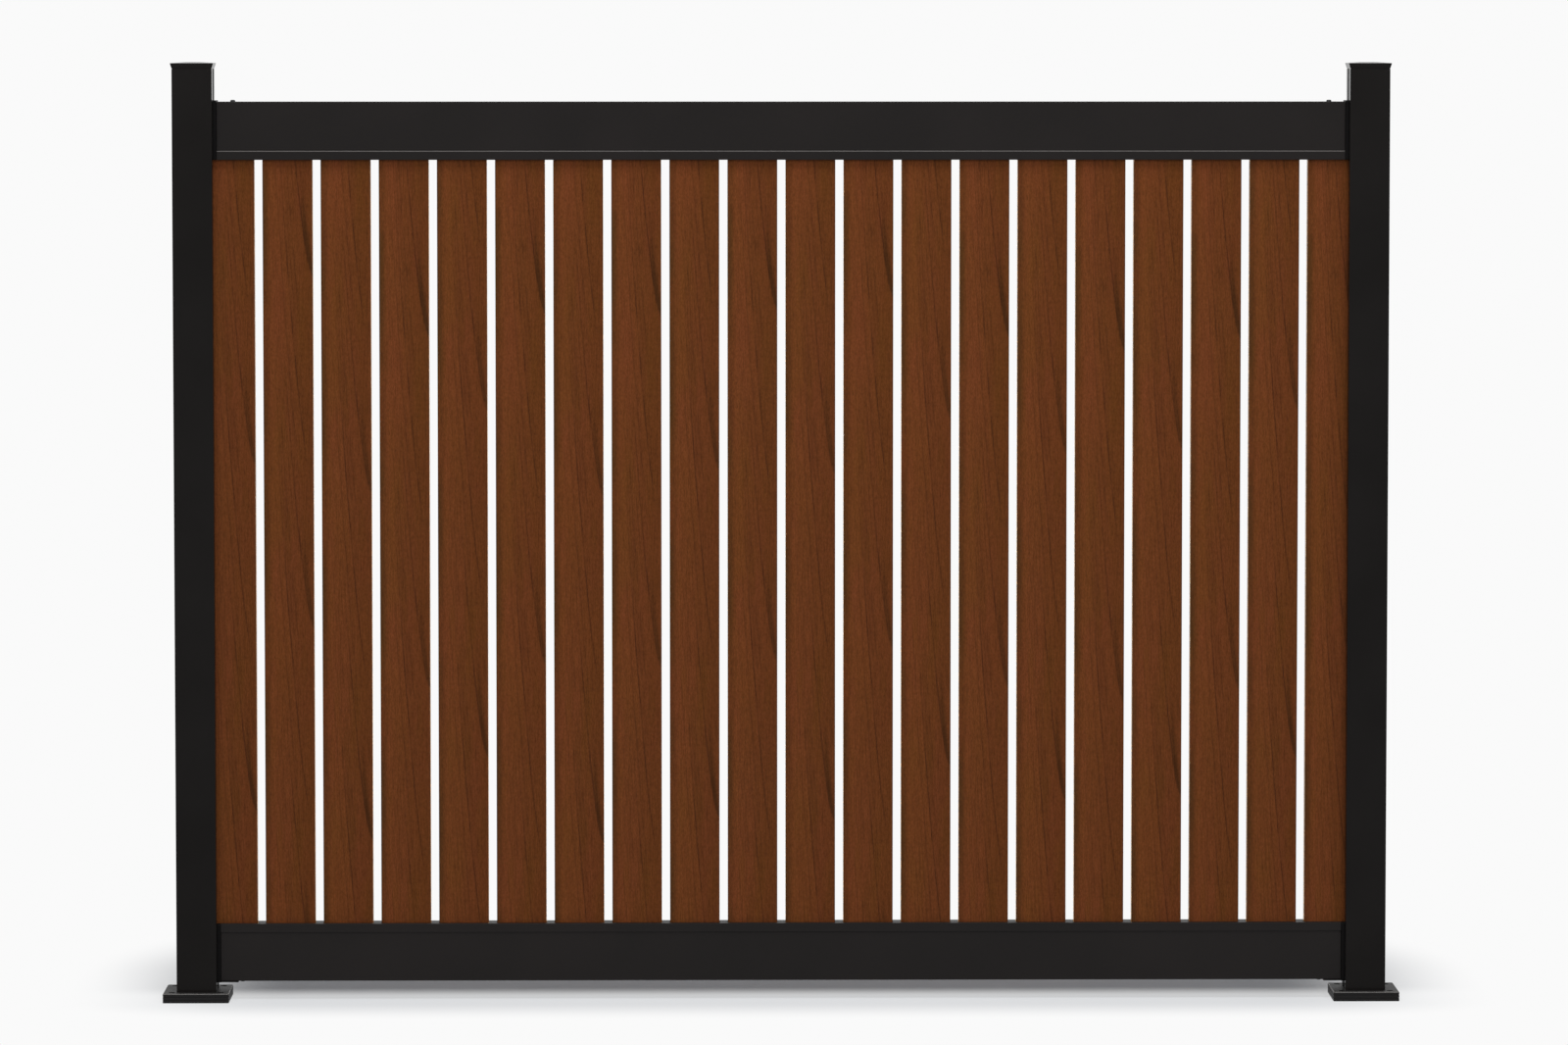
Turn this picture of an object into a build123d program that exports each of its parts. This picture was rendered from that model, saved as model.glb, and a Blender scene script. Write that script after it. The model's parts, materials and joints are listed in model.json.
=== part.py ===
from build123d import *
import os

# One bay of an aluminium slat fence. X runs along the bay, the front faces -Y and Z is up.
# The origin is the middle of the left base plate's underside.

# Slats: identical hollow extrusions, the outer edges of the two end ones in the post grooves
slat_count = 20
slat_width = 79.0
slat_thickness = 20.0
slat_gap = 13.15
slat_wall = 1.4
slat_rib = 1.2
slat_corner = 2.0
slat_end_gap = 2.0
groove_grip = 14.3
groove_end_gap = 2.0
groove_clearance = 0.8

# Posts: square tube with a full-height slat groove on the panel side
post_size = 63.5
post_wall = 2.2
post_corner = 1.5
post_above_rail = 52.0

# Base plates
base_margin = 20.75
base_thickness = 15.0
base_corner = 3.0
base_chamfer = 1.0
base_line_depth = 0.8
base_line_height = 1.2
base_line_count = 2
bolt_hole_radius = 5.5
bolt_hole_inset = 14.0

# Post caps: a rim that flares up and out over a thin neck, a low crown and four corner legs
cap_overhang = 2.5
cap_height = 9.0
cap_crown = 1.6
cap_flat = 24.0
cap_neck = 0.8
cap_edge = 0.8
cap_leg_depth = 18.0
cap_leg_wall = 2.5

# Rails: a closed chamber with a pocket above it that the slats stand in
panel_height = 1401.0
ground_clearance = 30.5
rail_height = 92.0
rail_depth = 34.0
rail_wall = 2.2
rail_edge = 1.0
rail_end_gap = 0.5
pocket_depth = 24.0

# Slat covers: snap over the open side of a rail and are routed for the slats
cover_height = 14.5
cover_wall = 1.9
cover_edge = 0.8
lip_round = 1.6
barb_depth = 0.7
barb_height = 1.6
routed_clearance = 0.4

# Brackets: a flange on the post with a tongue in the rail chamber
flange_thickness = 6.0
flange_proud = 2.0
flange_corner = 1.5
tongue_length = 50.0
tongue_wall = 3.0
shelf_length = 34.0

fit = 0.3

# Worked out along the bay
slat_pitch = slat_width + slat_gap
slat_run = slat_count * slat_pitch - slat_gap
post_face = post_size / 2
clear_width = slat_run - 2 * groove_grip
span = clear_width + post_size
first_slat = post_face - groove_grip + slat_width / 2
middle = Plane.YZ.offset(span / 2)

# Worked out up the bay
rail_top = ground_clearance + panel_height
post_top = rail_top + post_above_rail
halfway = Plane.XY.offset(ground_clearance + panel_height / 2)

# Worked out in the sections, with rail heights counted from the side away from the slats
groove_width = slat_thickness + 2 * groove_clearance
groove_depth = groove_grip + groove_end_gap
groove_housing = groove_width + 2 * post_wall
post_bore = post_size - 2 * post_wall
base_size = post_size + 2 * base_margin
bolt_spacing = base_size - 2 * bolt_hole_inset
rail_bore = rail_depth - 2 * rail_wall
rail_body = rail_height - cover_wall
pocket_floor = rail_body - pocket_depth
chamber_height = pocket_floor - 2 * rail_wall
cover_start = rail_height - cover_height
cover_bore = rail_depth + 2 * fit
cover_depth = cover_bore + 2 * cover_wall
rail_start = post_face + flange_thickness + rail_end_gap
rail_length = span - 2 * rail_start


def block(x_range, y_width, z_range):
    """A box between two x and two z values, centred on the panel's mid-plane."""
    size = (x_range[1] - x_range[0], y_width, z_range[1] - z_range[0])
    centre = ((x_range[0] + x_range[1]) / 2, 0, (z_range[0] + z_range[1]) / 2)
    return Pos(*centre) * Box(*size)


def strip(width, low, high, y=0):
    """A rectangle in a rail section, between two heights."""
    return Pos(y, (low + high) / 2) * Rectangle(width, high - low)


def along_rail(section):
    """Extrudes a rail section over the rail's length, with the rail's underside on the ground clearance."""
    return Pos(rail_start, 0, ground_clearance) * extrude(Plane.YZ * section, rail_length)


def left_post():
    section = RectangleRounded(post_size, post_size, post_corner) - Rectangle(post_bore, post_bore)
    housing_depth = groove_depth + post_wall
    section += Pos(post_face - housing_depth / 2, 0) * Rectangle(housing_depth, groove_housing)
    section -= Pos(post_face - groove_depth / 2, 0) * Rectangle(groove_depth, groove_width)
    return Pos(0, 0, base_thickness) * extrude(section, post_top - base_thickness)


def left_base_plate():
    plate = extrude(RectangleRounded(base_size, base_size, base_corner), base_thickness)
    plate = chamfer(plate.edges().group_by(Axis.Z)[-1], base_chamfer)
    inner = base_size - 2 * base_line_depth
    line = RectangleRounded(base_size + base_line_depth, base_size + base_line_depth, base_corner)
    line -= RectangleRounded(inner, inner, base_corner)
    ring = extrude(line, base_line_height)
    for number in range(1, base_line_count + 1):
        height = base_thickness * number / (base_line_count + 1)
        plate -= Pos(0, 0, height - base_line_height / 2) * ring
    holes = GridLocations(bolt_spacing, bolt_spacing, 2, 2) * Circle(bolt_hole_radius)
    return plate - extrude(Sketch() + holes, base_thickness)


def left_post_cap():
    rim = post_size + 2 * cap_overhang
    neck_size = post_size - 2 * cap_neck
    neck = Pos(0, 0, post_top) * extrude(Rectangle(neck_size, neck_size), cap_neck)
    low = Pos(0, 0, post_top + cap_neck) * RectangleRounded(post_size, post_size, post_corner)
    high = Pos(0, 0, post_top + cap_height) * RectangleRounded(rim, rim, post_corner)
    peak = Pos(0, 0, post_top + cap_height + cap_crown) * RectangleRounded(cap_flat, cap_flat, post_corner)
    head = loft([low, high])
    head = head + loft([high, peak])
    rim_edges = head.edges().filter_by_position(
        Axis.Z, post_top + cap_height - fit, post_top + cap_height + fit
    )
    head = fillet(rim_edges, cap_edge)
    plug = post_bore - 2 * fit
    hollow = plug - 2 * cap_leg_wall
    opening = groove_housing + 4 * fit
    legs = Rectangle(plug, plug) - Rectangle(hollow, hollow)
    legs -= Rectangle(post_size, opening)
    legs -= Rectangle(opening, post_size)
    return head + neck + Pos(0, 0, post_top - cap_leg_depth) * extrude(legs, cap_leg_depth + cap_neck)


def bottom_rail():
    section = strip(rail_depth, 0, rail_body)
    section = fillet(section.vertices().group_by(Axis.Y)[0], rail_edge)
    section -= strip(rail_bore, rail_wall, rail_wall + chamber_height)
    section -= strip(rail_bore, pocket_floor, rail_body)
    slot_depth = barb_depth + fit
    for side in (-1, 1):
        y = side * (rail_depth - slot_depth) / 2
        section -= strip(slot_depth, cover_start, cover_start + barb_height + fit, y)
    return along_rail(section)


def bottom_rail_cover():
    section = strip(cover_depth, cover_start, rail_height)
    section = fillet(section.vertices().group_by(Axis.Y)[-1], cover_edge)
    section = fillet(section.vertices().group_by(Axis.Y)[0], lip_round)
    section -= strip(cover_bore, cover_start, rail_body)
    for side in (-1, 1):
        y = side * (cover_bore - barb_depth - fit) / 2
        section += strip(barb_depth + fit, cover_start, cover_start + barb_height, y)
    cover = along_rail(section)
    opening = RectangleRounded(
        slat_width + 2 * routed_clearance, slat_thickness + 2 * routed_clearance, slat_corner
    )
    cutter = Pos(0, 0, ground_clearance + rail_body) * extrude(opening, cover_wall)
    for number in range(slat_count):
        cover -= Pos(first_slat + number * slat_pitch, 0) * cutter
    return cover


def bottom_left_bracket(with_shelf):
    flange_end = post_face + flange_thickness
    face_width = cover_depth + 2 * flange_proud
    face = strip(face_width, -flange_proud, rail_height)
    face = fillet(face.vertices(), flange_corner)
    face -= strip(groove_width, pocket_floor - fit, rail_height)
    bracket = extrude(Plane.YZ.offset(post_face) * face, flange_thickness)
    tongue = strip(rail_bore - 2 * fit, rail_wall + fit, rail_wall + chamber_height - fit)
    tongue -= offset(tongue, -tongue_wall)
    bracket += extrude(Plane.YZ.offset(flange_end) * tongue, tongue_length)
    if with_shelf:
        bracket += block((flange_end, post_face + shelf_length), rail_depth, (-flange_proud, 0))
    return Pos(0, 0, ground_clearance) * bracket


def slat(number):
    chamber = (slat_width - 2 * slat_wall - slat_rib) / 2
    section = RectangleRounded(slat_width, slat_thickness, slat_corner)
    for side in (-1, 1):
        x = side * (chamber + slat_rib) / 2
        section -= Pos(x, 0) * Rectangle(chamber, slat_thickness - 2 * slat_wall)
    length = panel_height - 2 * pocket_floor - slat_end_gap
    foot = Pos(first_slat + number * slat_pitch, 0, ground_clearance + pocket_floor)
    return foot * extrude(section, length)


parts = {
    "left_post": left_post(),
    "left_base_plate": left_base_plate(),
    "left_post_cap": left_post_cap(),
    "bottom_rail": bottom_rail(),
    "bottom_rail_cover": bottom_rail_cover(),
    "bottom_left_bracket": bottom_left_bracket(with_shelf=True),
    "top_left_bracket": mirror(bottom_left_bracket(with_shelf=False), halfway),
}
for name in ("post", "base_plate", "post_cap"):
    parts["right_" + name] = mirror(parts["left_" + name], middle)
for name in ("rail", "rail_cover"):
    parts["top_" + name] = mirror(parts["bottom_" + name], halfway)
for name in ("bottom", "top"):
    parts[name + "_right_bracket"] = mirror(parts[name + "_left_bracket"], middle)
for number in range(slat_count):
    parts[f"slat_{number + 1:02d}"] = slat(number)

os.makedirs("parts", exist_ok=True)
for name, shape in parts.items():
    export_step(shape, f"parts/{name}.step")
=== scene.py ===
import bpy
import bmesh
import json
import math
from mathutils import Matrix, Vector


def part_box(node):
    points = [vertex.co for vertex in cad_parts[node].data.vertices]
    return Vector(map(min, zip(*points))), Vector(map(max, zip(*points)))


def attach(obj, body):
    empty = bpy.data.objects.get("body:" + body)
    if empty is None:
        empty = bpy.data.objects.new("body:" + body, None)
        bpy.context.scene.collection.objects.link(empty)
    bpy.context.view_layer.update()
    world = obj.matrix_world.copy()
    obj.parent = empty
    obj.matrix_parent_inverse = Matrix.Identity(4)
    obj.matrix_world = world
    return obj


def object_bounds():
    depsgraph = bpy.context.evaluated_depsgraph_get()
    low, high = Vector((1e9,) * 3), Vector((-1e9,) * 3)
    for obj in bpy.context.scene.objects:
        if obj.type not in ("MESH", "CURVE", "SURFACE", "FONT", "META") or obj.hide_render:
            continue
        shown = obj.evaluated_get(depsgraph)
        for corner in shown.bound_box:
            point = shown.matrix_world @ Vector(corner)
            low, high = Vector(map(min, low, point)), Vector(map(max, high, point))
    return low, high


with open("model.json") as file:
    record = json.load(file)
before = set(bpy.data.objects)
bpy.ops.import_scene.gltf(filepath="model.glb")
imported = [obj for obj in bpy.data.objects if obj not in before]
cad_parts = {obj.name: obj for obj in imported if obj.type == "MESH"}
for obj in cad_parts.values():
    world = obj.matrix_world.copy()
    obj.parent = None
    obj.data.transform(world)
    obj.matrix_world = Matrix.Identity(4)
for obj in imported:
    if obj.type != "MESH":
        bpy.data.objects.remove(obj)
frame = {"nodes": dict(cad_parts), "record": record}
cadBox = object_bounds()
nodes = frame["nodes"]
print("frame loaded with", len(nodes), "nodes")


# Small helpers

def toned(red, green, blue):
    # screen values 0-255 as a linear colour
    parts = []
    for value in (red, green, blue):
        share = value / 255
        parts.append(share / 12.92 if share <= 0.04045 else ((share + 0.055) / 1.055) ** 2.4)
    return (*parts, 1.0)


def feed(tree, socket, value):
    # links a socket to a socket, or sets a plain value on it
    if isinstance(value, bpy.types.NodeSocket):
        tree.links.new(value, socket)
    else:
        socket.default_value = value


def calc(tree, operation, first, second=0.0):
    node = tree.nodes.new("ShaderNodeMath")
    node.operation = operation
    feed(tree, node.inputs[0], first)
    feed(tree, node.inputs[1], second)
    return node.outputs[0]


def times(tree, first, second):
    return calc(tree, "MULTIPLY", first, second)


def plus(tree, first, second):
    return calc(tree, "ADD", first, second)


def minus(tree, first, second):
    return calc(tree, "SUBTRACT", first, second)


def vectorCalc(tree, operation, first, second=(0.0, 0.0, 0.0)):
    node = tree.nodes.new("ShaderNodeVectorMath")
    node.operation = operation
    feed(tree, node.inputs[0], first)
    feed(tree, node.inputs[1], second)
    return node.outputs["Value" if operation == "LENGTH" else "Vector"]


def splitVector(tree, vector):
    node = tree.nodes.new("ShaderNodeSeparateXYZ")
    tree.links.new(vector, node.inputs[0])
    return node.outputs


def joinVector(tree, x, y, z=0.0):
    node = tree.nodes.new("ShaderNodeCombineXYZ")
    for index, item in enumerate((x, y, z)):
        feed(tree, node.inputs[index], item)
    return node.outputs[0]


def remap(tree, value, fromLow, fromHigh, toLow=0.0, toHigh=1.0):
    node = tree.nodes.new("ShaderNodeMapRange")
    node.interpolation_type = "SMOOTHSTEP"
    for index, item in enumerate((value, fromLow, fromHigh, toLow, toHigh)):
        feed(tree, node.inputs[index], item)
    return node.outputs[0]


def blendColor(tree, amount, first, second):
    node = tree.nodes.new("ShaderNodeMix")
    node.data_type = "RGBA"
    feed(tree, node.inputs[0], amount)
    feed(tree, node.inputs[6], first)  # the colour sockets of this node
    feed(tree, node.inputs[7], second)
    return node.outputs[2]


def noiseAt(tree, vector, scale=1.0, detail=2.0, roughness=0.5):
    node = tree.nodes.new("ShaderNodeTexNoise")
    feed(tree, node.inputs["Vector"], vector)
    node.inputs["Scale"].default_value = scale
    node.inputs["Detail"].default_value = detail
    node.inputs["Roughness"].default_value = roughness
    return node.outputs[0]


def chanceOf(tree, number):
    # one fixed random value for each whole number
    node = tree.nodes.new("ShaderNodeTexWhiteNoise")
    node.noise_dimensions = "1D"
    tree.links.new(number, node.inputs["W"])
    return node.outputs["Value"]


def newMaterial(name):
    material = bpy.data.materials.new(name)
    material.use_nodes = True
    tree = material.node_tree
    tree.nodes.clear()
    shader = tree.nodes.new("ShaderNodeBsdfPrincipled")
    output = tree.nodes.new("ShaderNodeOutputMaterial")
    tree.links.new(shader.outputs[0], output.inputs["Surface"])
    place = tree.nodes.new("ShaderNodeTexCoord").outputs["Object"]
    return material, tree, shader, place


def bumped(tree, shader, height, distance, strength):
    bump = tree.nodes.new("ShaderNodeBump")
    bump.inputs["Strength"].default_value = strength
    bump.inputs["Distance"].default_value = distance
    feed(tree, bump.inputs["Height"], height)
    tree.links.new(bump.outputs[0], shader.inputs["Normal"])


# Powder coat: fine pebbled skin shared by the black finishes, and a painted highlight on faces that look
# upward

grainSet = {
    "pebble": {"scale": 620, "detail": 2.0, "roughness": 0.55},  # orange peel, about 1.6 mm
    "speck": {"scale": 2100, "detail": 1.0, "roughness": 0.5},  # single grains of powder
    "drift": {"scale": 5.5, "detail": 2.0, "roughness": 0.5},  # slow change along a bar
    "speckTint": (0.35, 0.75, 0.0, 0.55),  # span of the noise, then what it gives
    "driftTint": (0.3, 0.7, 0.0, 0.45),
    "pebbleSpan": (0.3, 0.7),
    "speckHeight": 0.35,
    "paintedHighlightFrom": (0.08, 0.35),  # painted highlight on bevels and lips that look up this much or more
    "paintedHighlightTo": (0.97, 0.88),  # but less than a flat top
}


def makeCoatGrain():
    look = grainSet
    group = bpy.data.node_groups.new("coatGrain", "ShaderNodeTree")
    sockets = (
        ("Place", "INPUT", "NodeSocketVector"),
        ("Tone", "INPUT", "NodeSocketColor"),
        ("Lift", "INPUT", "NodeSocketColor"),
        ("Painted Highlight", "INPUT", "NodeSocketColor"),
        ("Gloss Low", "INPUT", "NodeSocketFloat"),
        ("Gloss High", "INPUT", "NodeSocketFloat"),
        ("Color", "OUTPUT", "NodeSocketColor"),
        ("Roughness", "OUTPUT", "NodeSocketFloat"),
        ("Height", "OUTPUT", "NodeSocketFloat"),
    )
    for name, way, kind in sockets:
        group.interface.new_socket(name, in_out=way, socket_type=kind)
    source = group.nodes.new("NodeGroupInput").outputs
    result = group.nodes.new("NodeGroupOutput").inputs
    pebble = noiseAt(group, source["Place"], **look["pebble"])
    speck = noiseAt(group, source["Place"], **look["speck"])
    drift = noiseAt(group, source["Place"], **look["drift"])
    tint = plus(group, remap(group, speck, *look["speckTint"]), remap(group, drift, *look["driftTint"]))
    color = blendColor(group, tint, source["Tone"], source["Lift"])
    # painted highlight: faces that look upward, such as bevels and lips, are lightened as if lit from above
    normal = group.nodes.new("ShaderNodeNewGeometry").outputs["True Normal"]
    up = splitVector(group, normal)[2]
    paintedHighlightMask = times(group, remap(group, up, *look["paintedHighlightFrom"]), remap(group, up, *look["paintedHighlightTo"]))
    color = blendColor(group, paintedHighlightMask, color, source["Painted Highlight"])
    rough = remap(group, pebble, *look["pebbleSpan"], source["Gloss Low"], source["Gloss High"])
    height = plus(group, pebble, times(group, speck, look["speckHeight"]))
    group.links.new(color, result["Color"])
    group.links.new(rough, result["Roughness"])
    group.links.new(height, result["Height"])
    return group


coatGrain = makeCoatGrain()

postCoat = {
    "name": "blackPostCoat",
    "tone": toned(19, 17, 16),
    "lift": toned(27, 25, 24),
    "gloss": (0.14, 0.20),
    "specular": 0.06,
    "skin": (0.00006, 0.15),  # depth in metres, strength
}
railCoat = {
    "name": "blackRailCoat",
    "tone": toned(14, 11, 10),
    "lift": toned(23, 19, 18),
    "gloss": (0.42, 0.54),
    "specular": 0.18,
    "skin": (0.00012, 0.25),
}
plateCoat = {
    "name": "blackPlateCoat",
    "tone": toned(23, 22, 22),
    "lift": toned(30, 29, 29),
    "gloss": (0.46, 0.56),
    "specular": 0.12,
    "skin": (0.00010, 0.22),
    "edge": toned(108, 106, 104),  # painted highlight on faces that slope upward, such as the plate's top chamfer
}
# the rail coat with a painted highlight along the top cover's lip, where light from above catches it
lipCoatPaintedHighlight = {**railCoat, "name": "blackLipPaintedHighlight", "edge": toned(88, 85, 83)}
# darker than the rails: painted shade where the bracket sits between post and rail
bracketCoatPaintedShade = {
    "name": "blackBracketPaintedShade",
    "tone": toned(9, 8, 8),
    "lift": toned(15, 14, 14),
    "gloss": (0.40, 0.52),
    "specular": 0.06,
    "skin": (0.00010, 0.22),
}
screwCoat = {
    "name": "blackScrewCoat",
    "tone": toned(26, 26, 27),
    "lift": toned(36, 36, 37),
    "gloss": (0.28, 0.40),
    "specular": 0.22,
    "skin": (0.00005, 0.15),
}


def coated(look):
    material, tree, shader, place = newMaterial(look["name"])
    grain = tree.nodes.new("ShaderNodeGroup")
    grain.node_tree = coatGrain
    tree.links.new(place, grain.inputs["Place"])
    grain.inputs["Tone"].default_value = look["tone"]
    grain.inputs["Lift"].default_value = look["lift"]
    # painted highlight: upward faces take the look's edge colour, or its lighter lift tone where it has
    # none
    grain.inputs["Painted Highlight"].default_value = look.get("edge", look["lift"])
    grain.inputs["Gloss Low"].default_value = look["gloss"][0]
    grain.inputs["Gloss High"].default_value = look["gloss"][1]
    tree.links.new(grain.outputs["Color"], shader.inputs["Base Color"])
    tree.links.new(grain.outputs["Roughness"], shader.inputs["Roughness"])
    shader.inputs["Specular IOR Level"].default_value = look["specular"]
    bumped(tree, shader, grain.outputs["Height"], *look["skin"])
    return material


# Wood print on the slats: millimetres across and along each slat, from its own left edge

mm = 1000
firstLow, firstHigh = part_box("slat_01")
slatPitch = (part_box("slat_02")[0].x - firstLow.x) * mm
slatWidth = (firstHigh.x - firstLow.x) * mm

woodLook = {
    "name": "woodPrintFilm",
    "heart": toned(102, 57, 28),
    "red": toned(104, 56, 30),
    "olive": toned(97, 57, 25),
    "vein": toned(65, 36, 21),
    "flame": toned(63, 38, 19),
    "pore": toned(72, 41, 23),
    "edge": toned(76, 50, 25),
    "repeat": 556,  # length of the print before it comes again
    "slideStep": 326,  # every second slat is cut this much further along the print
    "slideChance": 150,  # and each slat up to this much more
    "slideBack": 215,  # the back shows another stretch of it
    "bend": 1.587,  # how a vein turns towards the right edge
    "leastDrop": 0.3,
    "leastSteep": 2.0,
    "wander": 26,  # how far the veins stray along the slat
    "wanderScale": (0.03, 0.006, 3.0),  # across, along, and a shift
    "swellLeft": (3, 17, 0.84, 1.0),  # darker towards both edges
    "swellRight": (20, 78, 1.0, 0.80),
    "bandSpan": (12, 2),  # olive band along the left edge
    "dashDark": 0.26,
    "poreDark": 0.40,
    "poreSink": 0.6,
    "fibreShade": (0.22, 0.78, 0.86, 1.14),
    "gritShade": (0.2, 0.8, 0.83, 1.17),
    "fibreSpan": (0.25, 0.75),
    "gloss": (0.15, 0.22),
    "specular": 0.015,
    "sheen": 1.0,  # the clear film's warm glow at a flat angle
    "sheenSpread": 0.14,
    "sheenTint": (1.0, 0.55, 0.20, 1.0),
    "skin": (0.00012, 0.25),
}

# noise: steps per mm across and along, a shift of its own, and the span that shows
woodNoise = {
    "cloud": {"across": 0.03, "along": 0.004, "shift": 5.0, "span": (0.3, 0.7)},
    "tinge": {"across": 0.045, "along": 0.007, "shift": 8.0, "span": (0.45, 0.75, 0.0, 0.55)},
    "gaps": {"across": 0.16, "along": 0.018, "shift": 9.0, "rough": 0.6, "span": (0.30, 0.62, 0.35, 1.0)},
    "band": {"across": 0.0, "along": 0.006, "shift": 21.0, "span": (0.36, 0.62, 0.1, 0.75)},
    "fibre": {"across": 0.62, "along": 0.022, "shift": 1.0, "detail": 3.0, "rough": 0.65},
    "dash": {"across": 0.55, "along": 0.05, "shift": 12.0, "detail": 1.0, "span": (0.56, 0.72)},
    "pore": {"across": 1.5, "along": 0.11, "shift": 17.0, "detail": 0.0, "span": (0.64, 0.78)},
    "grit": {"across": 0.75, "along": 0.24, "shift": 30.0, "detail": 1.0},
}

# each vein: its foot in the repeat, how dark, half its width, where it shows, counted from the
# right edge, and how dark and wide the shade beside it is
veins = (
    {"foot": 60, "dark": 0.70, "half": 0.9, "from": (6, 18), "to": (40, 62), "shade": 0.26, "reach": 19},
    {"foot": 130, "dark": 0.26, "half": 0.7, "from": (24, 36), "to": (52, 74), "shade": 0.05, "reach": 7},
    {"foot": 205, "dark": 0.32, "half": 0.8, "from": (14, 30), "to": (46, 70), "shade": 0.08, "reach": 9},
    {"foot": 310, "dark": 0.26, "half": 0.7, "from": (20, 34), "to": (48, 74), "shade": 0.06, "reach": 8},
    {"foot": 389, "dark": 0.68, "half": 0.9, "from": (2, 8), "to": (28, 58), "shade": 0.16, "reach": 14},
    {"foot": 480, "dark": 0.36, "half": 0.8, "from": (20, 34), "to": (50, 74), "shade": 0.08, "reach": 9},
)
veinForm = {
    "line": (1.7, 0.2),  # in half widths, where the line ends and where it is full
    "shadeStart": (-0.8, 0.6),
    "shadeFull": 0.5,
    "shadeDrop": (14, 34, 0.3, 1.0),  # weaker near the right edge
}
flame = {
    "foot": 389,
    "start": (-0.9, 0.8),
    "wide": 11.0,
    "core": 2.0,
    "from": 21,  # from the right edge
    "full": 11,
    "strength": (0.55, 0.80),
}


def slatPlace(tree, place):
    # across from the left edge of the side that is looked at, along with each slat's slide, and depth
    look = woodLook
    x, y, z = [times(tree, part, mm) for part in splitVector(tree, place)]
    halfGap = (slatPitch - slatWidth) / 2
    fromFirst = minus(tree, x, firstLow.x * mm - halfGap)
    number = calc(tree, "FLOOR", calc(tree, "DIVIDE", fromFirst, slatPitch))
    inSlat = minus(tree, minus(tree, fromFirst, times(tree, number, slatPitch)), halfGap)
    back = calc(tree, "GREATER_THAN", y, (firstLow.y + firstHigh.y) / 2 * mm)
    turned = minus(tree, slatWidth, times(tree, inSlat, 2.0))
    across = plus(tree, inSlat, times(tree, back, turned))
    second = calc(tree, "MODULO", number, 2.0)
    slide = times(tree, second, look["slideStep"])
    slide = plus(tree, slide, times(tree, chanceOf(tree, number), look["slideChance"]))
    slide = plus(tree, slide, times(tree, back, look["slideBack"]))
    return across, plus(tree, z, slide), y


def veinPlace(tree, across, along):
    # every vein is the same curve, slid along: the place in the repeat, and how steep the curve is there
    look = woodLook
    drop = calc(tree, "MAXIMUM", minus(tree, slatWidth, across), look["leastDrop"])
    curve = calc(tree, "POWER", drop, look["bend"])
    perAcross, perAlong, shift = look["wanderScale"]
    wanderPlace = joinVector(tree, times(tree, across, perAcross), times(tree, along, perAlong), shift)
    wander = times(tree, minus(tree, noiseAt(tree, wanderPlace), 0.5), look["wander"])
    figure = plus(tree, minus(tree, along, curve), wander)
    cell = calc(tree, "FLOOR", calc(tree, "DIVIDE", figure, look["repeat"]))
    inRepeat = minus(tree, figure, times(tree, cell, look["repeat"]))
    slope = times(tree, calc(tree, "POWER", drop, look["bend"] - 1), look["bend"])
    return drop, inRepeat, plus(tree, slope, look["leastSteep"]), cell


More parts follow.
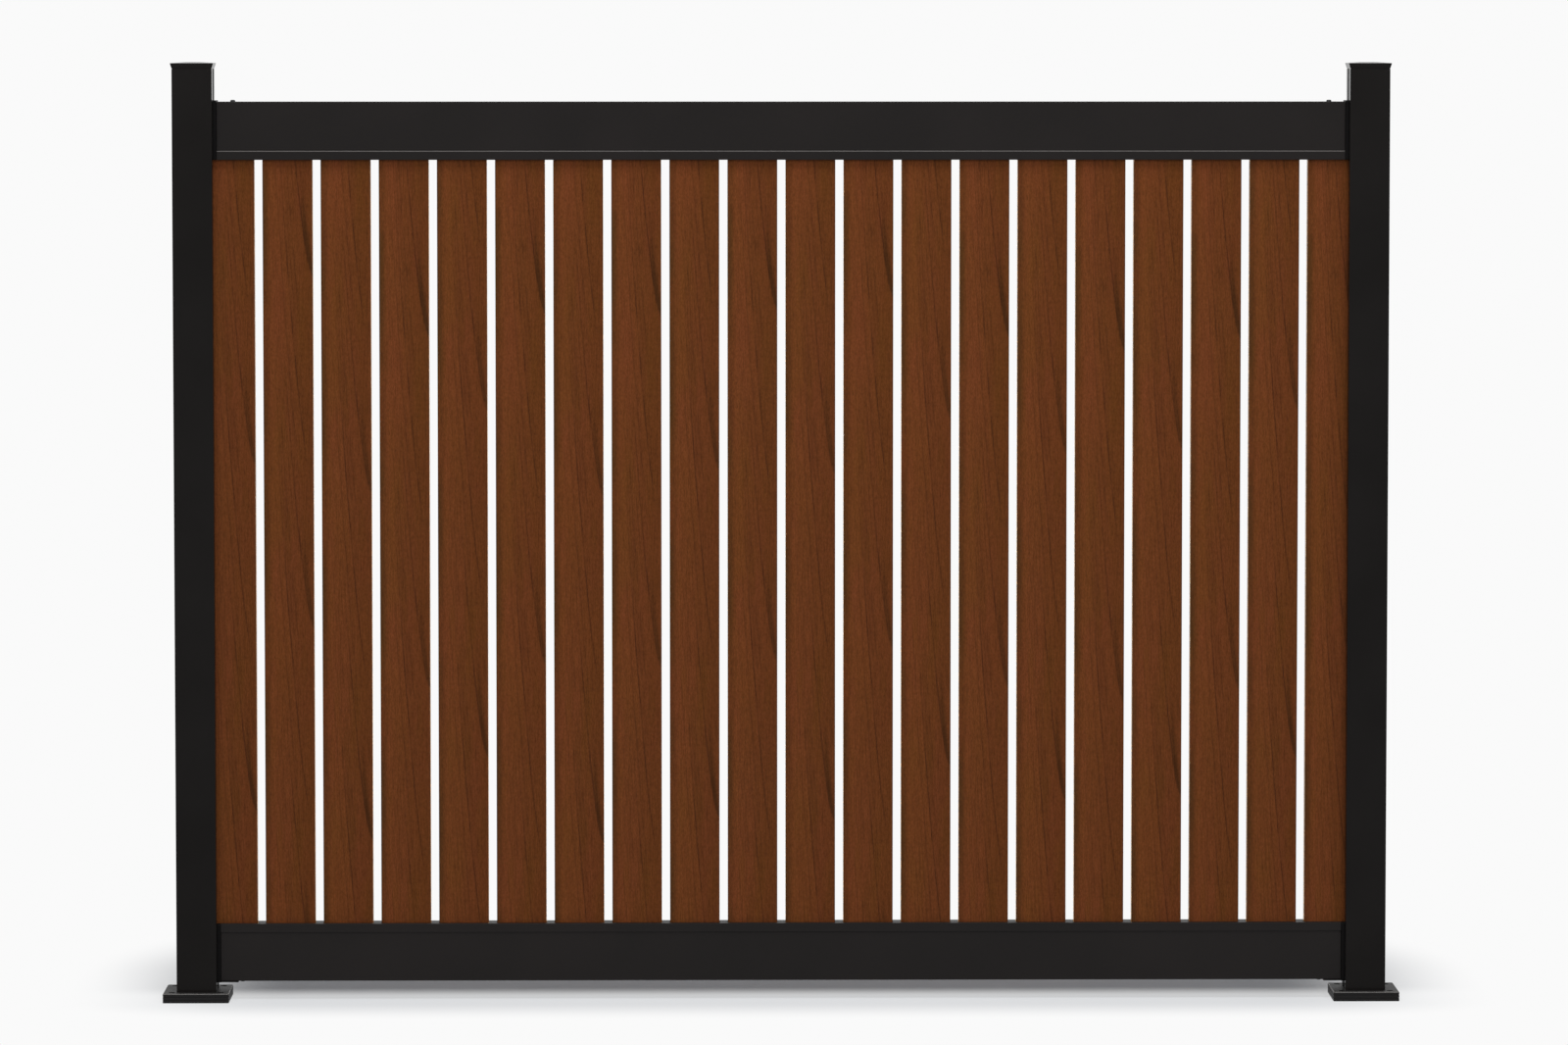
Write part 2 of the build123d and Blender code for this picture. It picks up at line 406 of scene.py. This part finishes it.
def makeWood():
    look = woodLook
    material, tree, shader, place = newMaterial(look["name"])
    across, along, depth = slatPlace(tree, place)
    drop, inRepeat, steep, cell = veinPlace(tree, across, along)

    def woodFigure(name):
        item = woodNoise[name]
        first = times(tree, across, item["across"])
        second = times(tree, along, item["along"])
        third = plus(tree, times(tree, depth, item["across"]), item["shift"])
        spot = joinVector(tree, first, second, third)
        figure = noiseAt(tree, spot, 1.0, item.get("detail", 2.0), item.get("rough", 0.5))
        return remap(tree, figure, *item["span"]) if "span" in item else figure

    # ground colour with slow red and olive clouds, lightest a quarter of the way across
    color = blendColor(tree, woodFigure("cloud"), look["red"], look["heart"])
    color = blendColor(tree, woodFigure("tinge"), color, look["olive"])
    swell = times(tree, remap(tree, across, *look["swellLeft"]), remap(tree, across, *look["swellRight"]))

    # veins, each darker on its right side, and the dark flame where one runs off the slat
    gaps = woodFigure("gaps")
    for vein in veins:
        aside = calc(tree, "DIVIDE", minus(tree, inRepeat, vein["foot"]), steep)
        shown = times(tree, remap(tree, drop, *vein["from"]), remap(tree, drop, *reversed(vein["to"])))
        shown = times(tree, shown, gaps)
        lineSpan = [vein["half"] * share for share in veinForm["line"]]
        line = remap(tree, calc(tree, "ABSOLUTE", aside), *lineSpan)
        shade = remap(tree, aside, *veinForm["shadeStart"])
        shade = times(tree, shade, remap(tree, aside, vein["reach"], veinForm["shadeFull"]))
        shade = times(tree, shade, remap(tree, drop, *veinForm["shadeDrop"]))
        color = blendColor(tree, times(tree, times(tree, shade, shown), vein["shade"]), color, look["vein"])
        color = blendColor(tree, times(tree, times(tree, line, shown), vein["dark"]), color, look["vein"])
    aside = calc(tree, "DIVIDE", minus(tree, inRepeat, flame["foot"]), steep)
    dark = remap(tree, aside, *flame["start"])
    dark = times(tree, dark, remap(tree, aside, flame["wide"], flame["core"]))
    dark = times(tree, dark, remap(tree, drop, flame["from"], flame["full"]))
    strength = remap(tree, chanceOf(tree, cell), 0.0, 1.0, *flame["strength"])
    color = blendColor(tree, times(tree, dark, strength), color, look["flame"])

    # olive band along the left edge, fibres, short dashes, pores and grit
    band = times(tree, remap(tree, across, *look["bandSpan"]), woodFigure("band"))
    color = blendColor(tree, band, color, look["edge"])
    fibre = woodFigure("fibre")
    pore = woodFigure("pore")
    color = blendColor(tree, times(tree, woodFigure("dash"), look["dashDark"]), color, look["vein"])
    color = blendColor(tree, times(tree, pore, look["poreDark"]), color, look["pore"])
    shade = times(tree, swell, remap(tree, fibre, *look["fibreShade"]))
    shade = times(tree, shade, remap(tree, woodFigure("grit"), *look["gritShade"]))
    color = vectorCalc(tree, "MULTIPLY", color, joinVector(tree, shade, shade, shade))

    tree.links.new(color, shader.inputs["Base Color"])
    tree.links.new(remap(tree, fibre, *look["fibreSpan"], *look["gloss"]), shader.inputs["Roughness"])
    shader.inputs["Specular IOR Level"].default_value = look["specular"]
    shader.inputs["Sheen Weight"].default_value = look["sheen"]
    shader.inputs["Sheen Roughness"].default_value = look["sheenSpread"]
    shader.inputs["Sheen Tint"].default_value = look["sheenTint"]
    bumped(tree, shader, minus(tree, fibre, times(tree, pore, look["poreSink"])), *look["skin"])
    return material


slotLooks = {
    "black_frame": coated(railCoat),
    "black_fittings": coated(plateCoat),
    "wood_grain": makeWood(),
}
postLook = coated(postCoat)
endLooks = {  # by the end of the node's name
    "_post": postLook,
    "_post_cap": postLook,
    "_bracket": coated(bracketCoatPaintedShade),
    "top_rail_cover": coated(lipCoatPaintedHighlight),
}
for part in frame["record"]["subparts"]:
    finish = slotLooks[part["material_slot"]]
    for ending, look in endLooks.items():
        if part["node"].endswith(ending):
            finish = look
    mesh = nodes[part["node"]].data
    mesh.materials.clear()
    mesh.materials.append(finish)
print("finishes set on", len(nodes), "nodes")


# Pan-head screws at the rail ends

screwSet = {
    "headRadius": 0.0041,
    "headHeight": 0.0029,
    "taper": 0.96,  # the head's top against its foot
    "round": 0.0021,
    "roundSteps": 4,
    "facets": 32,
    "flatUp": 0.99,  # how far up the flat of the head looks
    "armHalf": 0.0005,  # half width of the cross recess
    "armReach": 0.0016,
    "recess": 0.0014,
    "recessTaper": (0.8, 0.8, 1.0),
    "sharpAngle": 40,  # degrees
    "topInset": 0.031,  # from the post's face
    "bottomInset": 0.040,
}


def screwHead(pair, spot, upward):
    look = screwSet
    height = look["headHeight"]
    head = bmesh.new()
    bmesh.ops.create_cone(
        head, cap_ends=True, segments=look["facets"], radius1=look["headRadius"],
        radius2=look["headRadius"] * look["taper"], depth=height,
    )
    bmesh.ops.translate(head, verts=head.verts, vec=(0, 0, height / 2))
    rim = [edge for edge in head.edges if all(vert.co.z > height / 2 for vert in edge.verts)]
    bmesh.ops.bevel(
        head, geom=rim, offset=look["round"], segments=look["roundSteps"], profile=0.5,
        affect="EDGES", material=-1,
    )
    for reach in (look["armHalf"], look["armReach"]):
        for normal in ((1, 0, 0), (-1, 0, 0), (0, 1, 0), (0, -1, 0)):
            bmesh.ops.bisect_plane(
                head, geom=head.verts[:] + head.edges[:] + head.faces[:],
                plane_co=Vector(normal) * reach, plane_no=normal,
            )
    cross = []
    for face in head.faces:
        middle = face.calc_center_median()
        narrow = min(abs(middle.x), abs(middle.y))
        wide = max(abs(middle.x), abs(middle.y))
        if face.normal.z > look["flatUp"] and narrow < look["armHalf"] and wide < look["armReach"]:
            cross.append(face)
    sunk = bmesh.ops.extrude_face_region(head, geom=cross)["geom"]
    floorVerts = [item for item in sunk if isinstance(item, bmesh.types.BMVert)]
    bmesh.ops.delete(head, geom=cross, context="FACES")
    bmesh.ops.scale(head, verts=floorVerts, vec=look["recessTaper"])
    bmesh.ops.translate(head, verts=floorVerts, vec=(0, 0, -look["recess"]))
    if not upward:
        bmesh.ops.rotate(head, verts=head.verts, cent=(0, 0, 0), matrix=Matrix.Rotation(math.pi, 3, "X"))
    bmesh.ops.translate(head, verts=head.verts, vec=spot)
    bmesh.ops.recalc_face_normals(head, faces=head.faces)
    holder = bpy.data.meshes.new("screwHolder")
    head.to_mesh(holder)
    head.free()
    pair.from_mesh(holder)
    bpy.data.meshes.remove(holder)


def screwPair(name, railNode, inset, upward, material):
    low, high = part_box(railNode)
    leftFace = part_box("left_post")[1].x
    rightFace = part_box("right_post")[0].x
    level = high.z if upward else low.z
    pair = bmesh.new()
    for x in (leftFace + inset, rightFace - inset):
        screwHead(pair, Vector((x, 0, level)), upward)
    mesh = bpy.data.meshes.new(name)
    pair.to_mesh(mesh)
    pair.free()
    mesh.materials.append(material)
    mesh.shade_smooth()
    mesh.set_sharp_from_angle(angle=math.radians(screwSet["sharpAngle"]))
    piece = bpy.data.objects.new(name, mesh)
    bpy.context.scene.collection.objects.link(piece)
    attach(piece, "root")


screwLook = coated(screwCoat)
screwPair("top_rail_screws", "top_rail", screwSet["topInset"], True, screwLook)
screwPair("bottom_rail_screws", "bottom_rail", screwSet["bottomInset"], False, screwLook)
print("screws added")


# Floor, white round the object, with its own shading and shadow close to it; a painted white glow lightens
# that shadow in front and below

studio = {
    "white": (0.955, 0.955, 0.955, 1.0),
    "floorSize": 60.0,
    "floorTone": (0.57, 0.60, 0.64, 1.0),
    "shadowDepth": 0.22,  # how far behind the object the floor keeps its full shadow
    "fade": 0.18,  # from there to white
    "endPull": 0.19,  # how far inside the object's ends the shadow starts to fade
    "endFade": 0.50,  # share of the distance that counts at the ends, for a longer fade
    "backFade": 0.30,  # the same, behind
    "paintedUnderGlow": 0.50,  # painted light: how much of the white glow is laid over the floor's shadow in front and below
    "paintedGlowSpan": (0.12, 0.02),  # it sets in between these depths
    "fill": 0.30,
    "fillTone": (1.0, 1.0, 1.0, 1.0),
}


def seenDirectly(tree):
    # 1 for rays that show the background: camera, glossy and transmission
    path = tree.nodes.new("ShaderNodeLightPath")
    seen = calc(tree, "MAXIMUM", path.outputs["Is Camera Ray"], path.outputs["Is Glossy Ray"])
    return calc(tree, "MAXIMUM", seen, path.outputs["Is Transmission Ray"])


def mixShaders(tree, amount, first, second, output):
    mix = tree.nodes.new("ShaderNodeMixShader")
    tree.links.new(amount, mix.inputs[0])
    tree.links.new(first.outputs[0], mix.inputs[1])
    tree.links.new(second.outputs[0], mix.inputs[2])
    tree.links.new(mix.outputs[0], output.inputs["Surface"])


def makeFloor():
    low, high = cadBox
    middle = (low + high) / 2
    half = (high - low) / 2
    behind = studio["shadowDepth"] / 2
    reach = (half.x - studio["endPull"], half.y + behind, 0.0)
    material, tree, shader, place = newMaterial("paleFloor")
    away = vectorCalc(tree, "SUBTRACT", place, (middle.x, middle.y + behind, 0.0))
    away = vectorCalc(tree, "SUBTRACT", vectorCalc(tree, "ABSOLUTE", away), reach)
    away = vectorCalc(tree, "MAXIMUM", away, (0.0, 0.0, 0.0))
    depth = splitVector(tree, place)[1]
    back = calc(tree, "GREATER_THAN", depth, middle.y + behind)
    share = minus(tree, 1.0, times(tree, back, 1.0 - studio["backFade"]))
    away = vectorCalc(tree, "MULTIPLY", away, joinVector(tree, studio["endFade"], share))
    away = vectorCalc(tree, "LENGTH", away)
    # painted light: the floor's white glow is laid over its shadow in front of and below the object
    paintedGlowShare = remap(tree, depth, *studio["paintedGlowSpan"], 0.0, studio["paintedUnderGlow"])
    far = remap(tree, away, 0.0, studio["fade"], paintedGlowShare, 1.0)
    shader.inputs["Base Color"].default_value = studio["floorTone"]
    shader.inputs["Roughness"].default_value = 1.0
    shader.inputs["Specular IOR Level"].default_value = 0.0
    glow = tree.nodes.new("ShaderNodeEmission")
    glow.inputs["Color"].default_value = studio["white"]
    mixShaders(tree, times(tree, far, seenDirectly(tree)), shader, glow, tree.nodes["Material Output"])
    ground = bmesh.new()
    bmesh.ops.create_grid(ground, x_segments=2, y_segments=2, size=studio["floorSize"] / 2)
    bmesh.ops.translate(ground, verts=ground.verts, vec=(middle.x, middle.y, low.z))
    mesh = bpy.data.meshes.new("floor")
    ground.to_mesh(mesh)
    ground.free()
    mesh.materials.append(material)
    floor = bpy.data.objects.new("floor", mesh)
    bpy.context.scene.collection.objects.link(floor)


def makeWorld():
    world = bpy.data.worlds.new("studioWorld")
    bpy.context.scene.world = world
    world.use_nodes = True
    tree = world.node_tree
    tree.nodes.clear()
    dim = tree.nodes.new("ShaderNodeBackground")
    dim.inputs["Strength"].default_value = studio["fill"]
    dim.inputs["Color"].default_value = studio["fillTone"]
    white = tree.nodes.new("ShaderNodeBackground")
    white.inputs["Color"].default_value = studio["white"]
    output = tree.nodes.new("ShaderNodeOutputWorld")
    mixShaders(tree, seenDirectly(tree), dim, white, output)


lampSet = {
    "key": {"place": (3.2, -6.2, 3.4), "size": (3.6, 3.0), "power": 146, "mirrored": False},
    "side": {"place": (-2.0, -6.4, 2.8), "size": (3.2, 3.0), "power": 80, "mirrored": False},
    "top": {"place": (0.93, -1.9, 4.8), "size": (3.4, 2.0), "power": 120, "mirrored": True},
    "back": {"place": (0.4, 6.0, 0.5), "size": (4.0, 0.9), "power": 180, "mirrored": False},
    "left": {"place": (-5.0, 0.0, 0.4), "size": (1.5, 0.7), "power": 90, "mirrored": False},
    "right": {"place": (6.9, 0.0, 0.4), "size": (1.5, 0.7), "power": 90, "mirrored": False},
}


def addLamps():
    aim = (cadBox[0] + cadBox[1]) / 2
    for name, look in lampSet.items():
        light = bpy.data.lights.new(name, "AREA")
        light.shape = "RECTANGLE"
        light.size, light.size_y = look["size"]
        light.energy = look["power"]
        lamp = bpy.data.objects.new(name, light)
        lamp.location = look["place"]
        lamp.rotation_euler = (aim - Vector(look["place"])).to_track_quat("-Z", "Y").to_euler()
        lamp.visible_camera = False
        lamp.visible_glossy = look["mirrored"]
        bpy.context.scene.collection.objects.link(lamp)


makeFloor()
makeWorld()
addLamps()
print("studio ready")


# Camera at the photograph's place: a little above the post tops and left of the middle

cameraSet = {
    "place": (0.812, -10.5, 1.55),
    "tilt": 86.388,  # degrees from straight down
    "turn": -0.68,  # degrees, to the right where negative
    "lens": 151.75,
    "sensor": 36.0,
    "shift": (0.0, -0.05),
    "clipEnd": 200.0,
}

eye = bpy.data.cameras.new("photoCamera")
eye.lens = cameraSet["lens"]
eye.sensor_width = cameraSet["sensor"]
eye.shift_x, eye.shift_y = cameraSet["shift"]
eye.clip_end = cameraSet["clipEnd"]
camera = bpy.data.objects.new("photoCamera", eye)
camera.location = cameraSet["place"]
camera.rotation_euler = (math.radians(cameraSet["tilt"]), 0.0, math.radians(cameraSet["turn"]))
bpy.context.scene.collection.objects.link(camera)
bpy.context.scene.camera = camera
bpy.context.scene.view_settings.view_transform = "Standard"
print("camera set")
